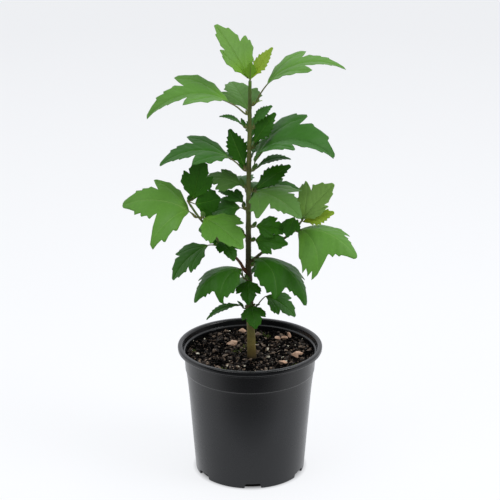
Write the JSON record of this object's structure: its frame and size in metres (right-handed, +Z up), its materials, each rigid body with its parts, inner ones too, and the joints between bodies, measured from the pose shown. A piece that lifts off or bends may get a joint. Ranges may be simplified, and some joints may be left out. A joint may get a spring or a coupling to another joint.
{
  "type": "potted rose of sharon",
  "caption": "Young flowering shrub with toothed three-lobed leaves on an upright stem, in a round black nursery pot filled with potting mix.",
  "frame": {"origin": "centre of the pot's flat underside, on the ground", "axes": "+Z up along the pot's axis and the stem, +X to the plant's right in the picture, +Y away from the camera"},
  "size_m": [0.2567, 0.165, 0.5168],
  "materials": {
    "pot": "satin black moulded plastic",
    "mix": "moist shredded bark with white perlite",
    "bark": "thin olive to red-brown bark with small lenticels",
    "shoot": "young green-brown bark",
    "leaf": "soft satin leaf"
  },
  "bodies": {
    "root": {"back_collar": "leaf", "back_left": "leaf", "back_left_foot": "leaf", "back_mid_left": "leaf", "back_mid_right": "leaf", "back_right": "leaf", "back_right_low": "leaf", "collar_left": "leaf", "collar_low": "leaf", "collar_right": "leaf", "crown_tip": "leaf", "foot_front": "leaf", "foot_left": "leaf", "foot_right": "leaf", "inner_left": "leaf", "inner_left_low": "leaf", "inner_right": "leaf", "left_inner_back": "leaf", "left_shoot": "shoot", "left_shoot_front": "leaf", "left_shoot_hanging": "leaf", "left_shoot_low": "leaf", "left_shoot_outer": "leaf", "left_shoot_tip": "leaf", "lower_front": "leaf", "lower_left": "leaf", "lower_right": "leaf", "main_stem": "bark", "mid_left": "leaf", "mid_right": "leaf", "nursery_pot": "pot", "potting_mix": "mix", "right_inner_high": "leaf", "right_inner_low": "leaf", "right_shoot": "shoot", "right_shoot_front": "leaf", "right_shoot_inner": "leaf", "right_shoot_tip": "leaf", "upper_back": "leaf", "upper_left": "leaf", "upper_right": "leaf"}
  },
  "joints": []
}
